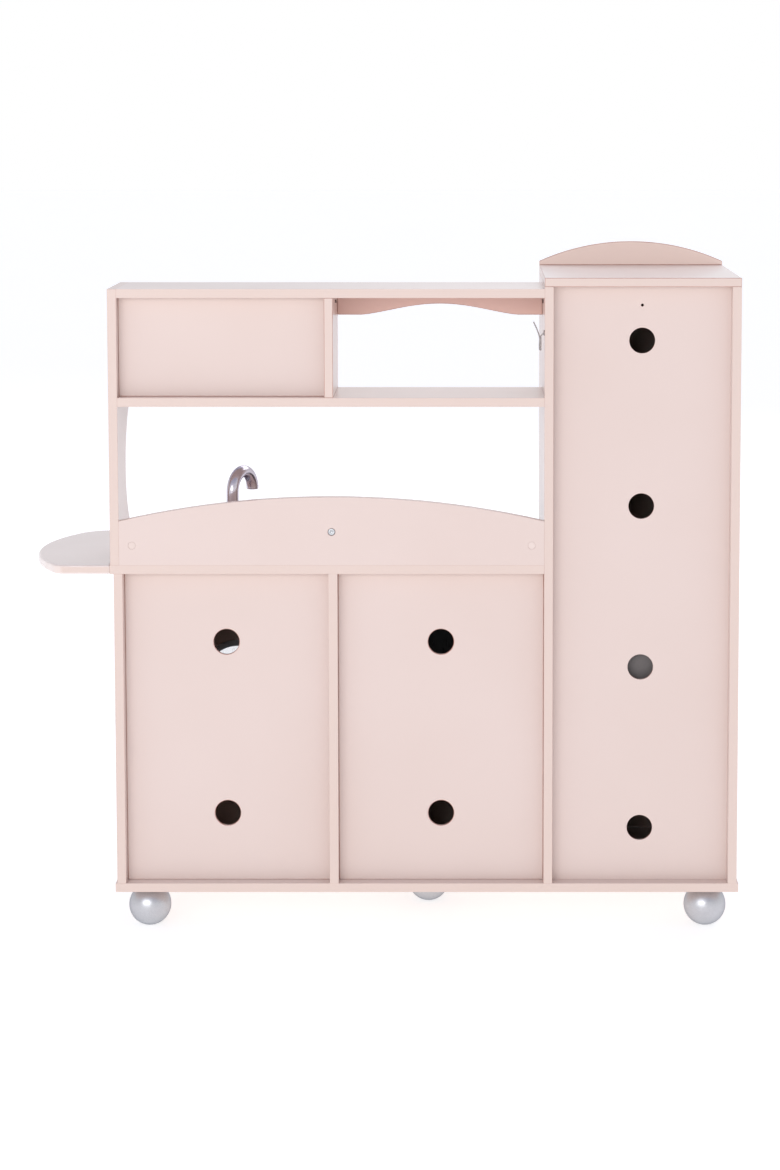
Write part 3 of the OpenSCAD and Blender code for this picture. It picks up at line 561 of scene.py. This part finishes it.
def oven_knob(node):
    """A skirted knob with a soft grip bar and an inlaid pointer line."""
    low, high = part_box(node)
    r = (high.x - low.x) / 2
    x, z = (low.x + high.x) / 2, (low.z + high.z) / 2
    skirt_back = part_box("oven_control_panel")[0].y - 0.8 * MM
    height = skirt_back - low.y
    bm = bmesh.new()
    profile = [(0, 0), (r - 1 * MM, 0), (r, 1 * MM), (r, 5.4 * MM), (r - 2.6 * MM, 7.4 * MM), (0, 8.2 * MM)]
    lathe(bm, rounded(profile, 1.2 * MM), Matrix.Translation((x, skirt_back, z)) @ FACING_FRONT, 64)
    shaft_r = 3 * MM
    shaft_end = -(high.y - skirt_back)
    shaft = [(0, shaft_end), (shaft_r, shaft_end), (shaft_r, 1 * MM)]
    lathe(bm, shaft, Matrix.Translation((x, skirt_back, z)) @ FACING_FRONT, 32)
    soft_box(bm, (x - 4 * MM, skirt_back - height, z - r + 2.5 * MM),
             (x + 4 * MM, skirt_back - 4 * MM, z + r - 2.5 * MM), 1.8 * MM, 4)
    piece("shaped_" + node, bm, SILVER, node, [node])
    bm = bmesh.new()
    front = skirt_back - height
    soft_box(bm, (x - 0.7 * MM, front - 0.05 * MM, z + 4 * MM),
             (x + 0.7 * MM, front + 1.2 * MM, z + r - 4.5 * MM), 0.3 * MM, 2)
    piece(node + "_pointer", bm, INK, node)


def dial_marks(node):
    """Printed dots round a knob, on the control panel; the first one is larger."""
    centre = middle(node)
    panel_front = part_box("oven_control_panel")[0].y
    marks, first_turn, step = 9, -120, 30
    marks_r = 20.5 * MM
    bm = bmesh.new()
    for i in range(marks):
        turn = math.radians(first_turn + step * i)
        size = 1.1 * MM if i else 1.9 * MM
        spin = Matrix.Translation((centre.x, panel_front, centre.z)) @ Matrix.Rotation(turn, 4, "Y")
        dot = spin @ Vector((0, 0, marks_r))
        lathe(bm, [(0, 0.12 * MM), (size, 0.12 * MM), (size, -0.05 * MM)],
              Matrix.Translation(dot) @ FACING_FRONT, 20)
    piece(node + "_marks", bm, INK, "oven_control_panel")


for node in ("oven_knob_left", "oven_knob_right"):
    oven_knob(node)
    dial_marks(node)


# ---------------------------------------------------------------- sink, faucet and taps

def sink():
    """A spun bowl with a rolled rim and a drain with a strainer."""
    low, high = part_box("sink_basin")
    centre = (low + high) / 2
    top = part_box("worktop")[1].z
    rim = (high.x - low.x) / 2
    rim_width = 10.5 * MM
    wall = rim - rim_width
    depth = top - low.z
    t = 2 * MM
    profile = [(0, -depth), (wall - 18 * MM, -depth), (wall, -depth + 20 * MM), (wall, 0.05 * MM),
               (rim, 0.05 * MM), (rim, 1.2 * MM), (wall + 3 * MM, 2.4 * MM), (wall - t, 1.6 * MM),
               (wall - t, -depth + 21 * MM), (wall - 19 * MM, -depth + t), (22 * MM, -depth + t - 0.3 * MM),
               (21 * MM, -depth + 0.9 * MM), (0, -depth + 0.9 * MM)]
    place = Matrix.Translation((centre.x, centre.y, top))
    bm = bmesh.new()
    lathe(bm, rounded(profile, 7 * MM, 8), place, 128)
    piece("spun_sink", bm, SINK_STEEL, "sink_basin", ["sink_basin"])
    bm = bmesh.new()
    drain = [(0, 0.8 * MM), (5 * MM, 0.9 * MM), (5.5 * MM, 0.5 * MM), (9 * MM, 0.4 * MM),
             (9.5 * MM, 0.9 * MM), (14 * MM, 1.0 * MM), (14.5 * MM, 0.5 * MM), (17 * MM, 0.5 * MM),
             (17.5 * MM, 1.3 * MM), (20 * MM, 1.3 * MM), (20.5 * MM, -0.2 * MM)]
    lathe(bm, rounded(drain, 0.3 * MM, 2), place @ Matrix.Translation((0, 0, -depth + 1.0 * MM)), 64)
    piece("sink_strainer", bm, ZINC, "sink_basin")
    # Dark discs on the strainer: painted shade standing in for its holes.
    bm = bmesh.new()
    for ring, count in ((7.3 * MM, 8), (12 * MM, 14)):
        for i in range(count):
            a = 2 * math.pi * i / count
            spot = place @ Vector((ring * math.cos(a), ring * math.sin(a), -depth + 1.2 * MM))
            lathe(bm, [(0, 0.85 * MM), (1.1 * MM, 0.85 * MM), (1.1 * MM, 0)], Matrix.Translation(spot), 12)
    piece("strainer_hole_painted_shade", bm, INK, "sink_basin")


def faucet():
    """A steel swan neck: straight stem, half-circle bend and a spout with an aerator."""
    low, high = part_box("faucet")
    base = middle("faucet_base")
    r = 8.25 * MM
    bend = 26 * MM
    spout_drop = 1.5 * MM
    turn = math.radians(-27)
    spin = Matrix.Translation((base.x, base.y, 0)) @ Matrix.Rotation(turn, 4, "Z")
    bend_z = high.z - bend - r
    spout_z = bend_z - spout_drop
    path = [(0, 0, low.z), (0, 0, low.z + 20 * MM), (0, 0, bend_z - 20 * MM), (0, 0, bend_z - 2 * MM)]
    steps = 36
    for i in range(steps + 1):
        a = math.pi * i / steps
        path.append((0, -bend + bend * math.cos(a), bend_z + bend * math.sin(a)))
    path.append((0, -2 * bend, spout_z + 0.6 * MM))
    bm = bmesh.new()
    tube(bm, [spin @ Vector(p) for p in path], r - 0.1 * MM, 48)
    tip = spin @ Matrix.Translation((0, -2 * bend, spout_z))
    ring = [(0, 2.5 * MM), (r - 2.6 * MM, 2.5 * MM), (r - 2.6 * MM, 0.4 * MM), (r - 1.8 * MM, 0),
            (r - 0.5 * MM, 0), (r, 0.5 * MM), (r, 5 * MM), (r - 0.5 * MM, 5.5 * MM)]
    lathe(bm, rounded(ring, 0.4 * MM, 3), tip, 48)
    piece("bent_faucet", bm, STEEL, "faucet", ["faucet"])
    bm = bmesh.new()
    bore = r + 0.1 * MM
    collar = [(bore, 0), (18 * MM, 0), (18 * MM, 2.4 * MM), (13.5 * MM, 4.2 * MM), (11.5 * MM, 8 * MM),
              (bore, 8 * MM)]
    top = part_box("worktop")[1].z
    lathe(bm, rounded(collar, 1.6 * MM, 5), Matrix.Translation((base.x, base.y, top)), 64)
    piece("spun_faucet_collar", bm, STEEL, "faucet_base", ["faucet_base"])


def tap(node, mark):
    """A tap with a spun foot and a crossed grip with domed ends, and a coloured button on top."""
    centre = middle(node)
    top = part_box("worktop")[1].z
    place = Matrix.Translation((centre.x, centre.y, top))
    bm = bmesh.new()
    body = [(0, -7 * MM), (4 * MM, -7 * MM), (4 * MM, 0.5 * MM), (11 * MM, 0.5 * MM), (11 * MM, 3 * MM),
            (7.5 * MM, 11 * MM), (5.2 * MM, 14 * MM), (8.4 * MM, 17 * MM), (9 * MM, 23 * MM),
            (8 * MM, 28 * MM), (5.2 * MM, 29.4 * MM), (5 * MM, 28.4 * MM), (0, 28.4 * MM)]
    lathe(bm, rounded(body, 1.6 * MM, 4), place, 56)
    arm_z = 22 * MM
    arm = [(2.6 * MM, 6 * MM), (2.9 * MM, 10 * MM), (3.5 * MM, 13 * MM), (3.1 * MM, 15.2 * MM),
           (0, 16 * MM)]
    for quarter in range(4):
        out = Matrix.Translation((0, 0, arm_z)) @ Matrix.Rotation(math.radians(90 * quarter), 4, "Z")
        out = place @ out @ Matrix.Rotation(math.radians(90), 4, "Y")
        lathe(bm, rounded(arm, 1.2 * MM, 4), out, 28)
    piece("shaped_" + node, bm, STEEL, node, [node])
    bm = bmesh.new()
    lathe(bm, rounded([(4.9 * MM, 28 * MM), (4.9 * MM, 28.9 * MM), (0, 29.8 * MM)], 0.5 * MM), place, 40)
    piece(node + "_button", bm, mark, node)


sink()
faucet()
tap("tap_left", moulded("hot_button", linear(206, 84, 80), linear(196, 76, 74)))
tap("tap_right", moulded("cold_button", linear(96, 142, 196), linear(86, 132, 188)))


# ---------------------------------------------------------------- hob

def hob_rings():
    """Each burner is a raised ring with two finer rings inside it."""
    low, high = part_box("hob_rings")
    plate_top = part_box("hob_plate")[1].z
    big, small = 38 * MM, 31 * MM
    x0, x1 = low.x + big, high.x - big
    y0, y1 = low.y + big, high.y - big
    bm = bmesh.new()
    for x, y, r in ((x0, y0, big), (x1, y1, big), (x0, y1, small), (x1, y0, small)):
        place = Matrix.Translation((x, y, plate_top))
        for outer, width in ((r, 5 * MM), (r * 0.68, 3.2 * MM), (r * 0.38, 3.2 * MM)):
            inner = outer - width
            ring = [(inner, 0.02 * MM), (outer, 0.02 * MM), (outer, 1.6 * MM), (inner, 1.6 * MM),
                    (inner, 0.02 * MM)]
            lathe(bm, rounded(ring, 0.8 * MM, 4), place, 96)
    piece("spun_hob_rings", bm, SILVER, "hob_rings", ["hob_rings"])


hob_rings()


# ---------------------------------------------------------------- clock

def clock():
    """A cream dial with a raised rim and hour strokes."""
    low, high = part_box("clock_face")
    centre = middle("clock_face")
    back = high.y
    front = low.y
    r = (high.x - low.x) / 2
    strokes_r = 28 * MM
    place = Matrix.Translation((centre.x, back, centre.z)) @ FACING_FRONT
    deep = back - front
    bm = bmesh.new()
    profile = [(3.1 * MM, 0), (r, 0), (r, 2.6 * MM), (r - 1.6 * MM, deep), (r - 4.5 * MM, deep),
               (r - 5.5 * MM, deep - 1.2 * MM), (3.1 * MM, deep - 1.2 * MM), (3.1 * MM, 0)]
    lathe(bm, rounded(profile, 0.8 * MM, 4), place, 96)
    piece("clock_dial", bm, CREAM, "clock_face", ["clock_face"])
    bm = bmesh.new()
    for hour in range(12):
        length = 5 * MM if hour % 3 == 0 else 3 * MM
        wide = 0.9 * MM if hour % 3 == 0 else 0.6 * MM
        made = bmesh.new()
        y = front + 1.2 * MM
        soft_box(made, (-wide, y - 0.12 * MM, strokes_r - length), (wide, y + 0.1 * MM, strokes_r),
                 0.05 * MM, 1)
        spin = Matrix.Translation((centre.x, 0, centre.z)) @ Matrix.Rotation(math.radians(30 * hour), 4, "Y")
        bmesh.ops.transform(made, matrix=spin, verts=made.verts[:])
        mesh = bpy.data.meshes.new("stroke")
        made.to_mesh(mesh)
        made.free()
        bm.from_mesh(mesh)
        bpy.data.meshes.remove(mesh)
    piece("clock_strokes", bm, INK, "clock_face")


def clock_spindle():
    """A metal pin with a low cap in front and a chamfered nut, recessed at its middle, in the rear."""
    low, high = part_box("clock_spindle")
    centre = middle("clock_spindle")
    bm = bmesh.new()
    place = Matrix.Translation((centre.x, high.y, centre.z)) @ FACING_FRONT
    length = high.y - low.y
    profile = [(0, 0.5 * MM), (1.6 * MM, 0.5 * MM), (1.9 * MM, 0.0), (4.3 * MM, 0.0), (5 * MM, 0.7 * MM),
               (5 * MM, 2.6 * MM), (3 * MM, 2.6 * MM), (3 * MM, length - 2 * MM), (4.8 * MM, length - 2 * MM),
               (4.4 * MM, length - 0.8 * MM), (0, length)]
    lathe(bm, rounded(profile, 0.3 * MM, 2), place, 48)
    piece("clock_pin", bm, ZINC, "clock_spindle", ["clock_spindle"])


clock()
clock_spindle()
dress("minute_hand", INK, HAND_EDGE)
dress("hour_hand", INK, HAND_EDGE)


# ---------------------------------------------------------------- washer porthole

def porthole():
    """A spun silver ring with a stepped lip."""
    low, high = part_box("porthole_ring")
    centre = (low + high) / 2
    outer = (high.x - low.x) / 2
    seat = outer - 15 * MM
    inner = seat - 10 * MM
    depth = high.y - low.y
    place = Matrix.Translation((centre.x, high.y, centre.z)) @ FACING_FRONT
    bm = bmesh.new()
    face = depth - 8 * MM
    sleeve = seat - 0.1 * MM
    profile = [(inner, 0), (sleeve, 0), (sleeve, face), (outer, face), (outer, face + 3 * MM),
               (outer - 4 * MM, depth - 0.6 * MM), (outer - 12 * MM, depth),
               (inner + 7 * MM, depth - 1.5 * MM), (inner, depth - 6 * MM), (inner, 0)]
    lathe(bm, rounded(profile, 1.5 * MM, 4), place, 128)
    piece("spun_porthole_ring", bm, SILVER, "porthole_ring", ["porthole_ring"])


porthole()


# ---------------------------------------------------------------- screws, bolts and the wire hook

def fasteners():
    """The CAD fasteners keep their shape, in a dark finish that is painted shade; those under the base and in
    the outer sides get dark plates on their heads, painted shade standing in for their sockets.
    """
    # The screws' dark finish is painted shade.
    dress("screws_and_bolts", SCREW_PAINTED_SHADE, 0.25 * MM)
    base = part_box("base_board")
    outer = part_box("tower_outer_side")
    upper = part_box("upper_side_panel")
    screw_ys = (-90 * MM, 100 * MM)
    bm = bmesh.new()

    def socket(place):
        """A shallow six-sided recess, drawn as a dark plate on the screw's head: painted shade standing in
        for the recess.
        """
        lathe(bm, [(0, 0.06 * MM), (1.9 * MM, 0.06 * MM), (2.1 * MM, -0.1 * MM)], place, 6)

    for node in ("tower_outer_side", "tower_inner_side", "centre_divider", "washer_side_panel"):
        for y in screw_ys:
            socket(Matrix.Translation((middle(node).x, y, base[0].z)) @ Matrix.Rotation(math.pi, 4, "X"))
    left = Matrix.Rotation(math.radians(-90), 4, "Y")
    for node in ("drawer_floor", "fridge_floor"):
        for y in screw_ys:
            socket(Matrix.Translation((outer[0].x, y, middle(node).z)) @ left)
    right = Matrix.Rotation(math.radians(90), 4, "Y")
    for node in ("upper_shelf", "upper_top_board"):
        for y in (upper[1].y - 40 * MM, upper[0].y + 30 * MM):
            socket(Matrix.Translation((upper[1].x, y, middle(node).z)) @ right)
    piece("screw_socket_painted_shade", bm, INK, "screws_and_bolts")


def smooth_path(points, steps=8):
    """A Catmull-Rom curve through the points."""
    out = []
    for i in range(len(points) - 1):
        p0, p1 = points[max(i - 1, 0)], points[i]
        p2, p3 = points[i + 1], points[min(i + 2, len(points) - 1)]
        for k in range(steps):
            t = k / steps
            out.append(0.5 * ((2 * p1) + (p2 - p0) * t + (2 * p0 - 5 * p1 + 4 * p2 - p3) * t * t
                              + (3 * p1 - p0 - 3 * p2 + p3) * t ** 3))
    return out + [points[-1]]


def wire_hook():
    """Bent wire: a long prong, a short arm to its wall plate, and two strands down to a curl."""
    low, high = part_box("wire_hook")
    wall = low.x
    y = high.y - 4 * MM
    r = 0.9 * MM
    bead = 1.6 * MM
    joint_z = high.z - bead - 21 * MM

    def at(out, up, back=0.0):
        """A point by its millimetres away from the wall, above the joint and to the rear."""
        return Vector((wall + out * MM, y + back * MM, joint_z + up * MM))

    bm = bmesh.new()
    curl = [at(5.2, -0.5), at(5.1, -9), at(5.2, -17), at(5.9, -15.5, -5), at(6.0, -13.5, -9)]
    prong = [at(6.8, -17), at(6.9, -9), at(6.7, -0.5), at(10, 10), at(15, 21)]
    arm = [at(6, -1), at(4.6, 2.5), at(1.2, 6)]
    for bend in (curl, prong, arm):
        tube(bm, smooth_path(bend), r, 20)
    steps = 16
    ball = [(bead * math.sin(a), -bead * math.cos(a))
            for a in (math.pi * i / steps for i in range(steps + 1))]
    for spot in (at(6, 0), at(6, -12.5)):
        lathe(bm, ball, Matrix.Translation(spot), 28)
    plate = [(0, 0), (4 * MM, 0), (4 * MM, 0.8 * MM), (2.8 * MM, 1.5 * MM), (0, 1.5 * MM)]
    lathe(bm, rounded(plate, 0.4 * MM),
          Matrix.Translation(at(0, 6)) @ Matrix.Rotation(math.radians(90), 4, "Y"), 36)
    piece("bent_wire_hook", bm, WIRE, "wire_hook", ["wire_hook"])


fasteners()
wire_hook()


# ---------------------------------------------------------------- studio

def pale_floor():
    """A matt pale floor that glows a little, so that the shadows under the base stay soft."""
    s = Shader("pale_floor", Roughness=0.75, Specular_IOR_Level=0.15, Emission_Strength=0.60)
    s.bsdf.inputs["Emission Color"].default_value = (1.0, 1.0, 1.0, 1.0)
    cloud = s.remap(s.noise(900 * MM, 2.0), 0.3, 0.7, 0.0, 1.0)
    tint = s.mix(cloud, (0.62, 0.62, 0.62, 1.0), (0.61, 0.61, 0.61, 1.0))
    return s.set(Base_Color=tint)


def studio():
    """A pale floor, a white surround that is dimmer and cooler overhead, and a light at each side."""
    bm = bmesh.new()
    bmesh.ops.create_grid(bm, x_segments=1, y_segments=1, size=30.0)
    mesh = bpy.data.meshes.new("floor")
    bm.to_mesh(mesh)
    bm.free()
    floor = bpy.data.objects.new("floor", mesh)
    floor.location.z = cad_bounds[0][2]
    bpy.context.scene.collection.objects.link(floor)
    mesh.materials.append(pale_floor())

    world = bpy.data.worlds.new("studio")
    world.use_nodes = True
    background = world.node_tree.nodes["Background"]
    make = world.node_tree.nodes.new
    join = world.node_tree.links.new
    height = make("ShaderNodeSeparateXYZ")
    rise = make("ShaderNodeMapRange")
    for key, number in (("From Min", 0.08), ("From Max", 0.65), ("To Min", 0.0), ("To Max", 1.0)):
        rise.inputs[key].default_value = number
    sky = make("ShaderNodeMix")
    sky.data_type = "RGBA"
    sky.inputs[MIX_FIRST].default_value = (1.0, 1.0, 1.0, 1.0)
    sky.inputs[MIX_SECOND].default_value = (0.52, 0.53, 0.64, 1.0)
    join(make("ShaderNodeTexCoord").outputs["Generated"], height.inputs[0])
    join(height.outputs[2], rise.inputs["Value"])
    join(rise.outputs["Result"], sky.inputs[MIX_FACTOR])
    join(sky.outputs[MIX_RESULT], background.inputs["Color"])
    background.inputs["Strength"].default_value = 1.0
    bpy.context.scene.world = world

    def area(name, place, size, power):
        """A soft rectangular light aimed at the object's middle."""
        light = bpy.data.lights.new(name, "AREA")
        light.shape = "RECTANGLE"
        light.size, light.size_y = size
        light.energy = power
        obj = bpy.data.objects.new(name, light)
        obj.location = place
        obj.rotation_euler = (Vector((0.0, 0.0, 0.45)) - Vector(place)).to_track_quat("-Z", "Y").to_euler()
        bpy.context.scene.collection.objects.link(obj)

    area("key", (1.3, 4.2, 1.55), (2.6, 1.2), 50)
    area("front_fill", (-1.8, -3.4, 3.2), (5.0, 2.0), 60)


def camera():
    """From behind and a little above the object, slightly to the -X side."""
    tilt_down = math.radians(5.338)
    data = bpy.data.cameras.new("camera")
    data.sensor_width = 36.0
    data.lens = 82.74
    data.shift_x = -0.0684
    data.shift_y = -0.20
    data.clip_end = 100.0
    obj = bpy.data.objects.new("camera", data)
    obj.location = (-0.118, 3.761, 1.136)
    obj.rotation_euler = (math.radians(90) - tilt_down, 0.0, math.radians(180))
    bpy.context.scene.collection.objects.link(obj)
    bpy.context.scene.camera = obj


studio()
camera()
bpy.context.scene.view_settings.view_transform = "Standard"
bpy.context.scene.view_settings.look = "None"
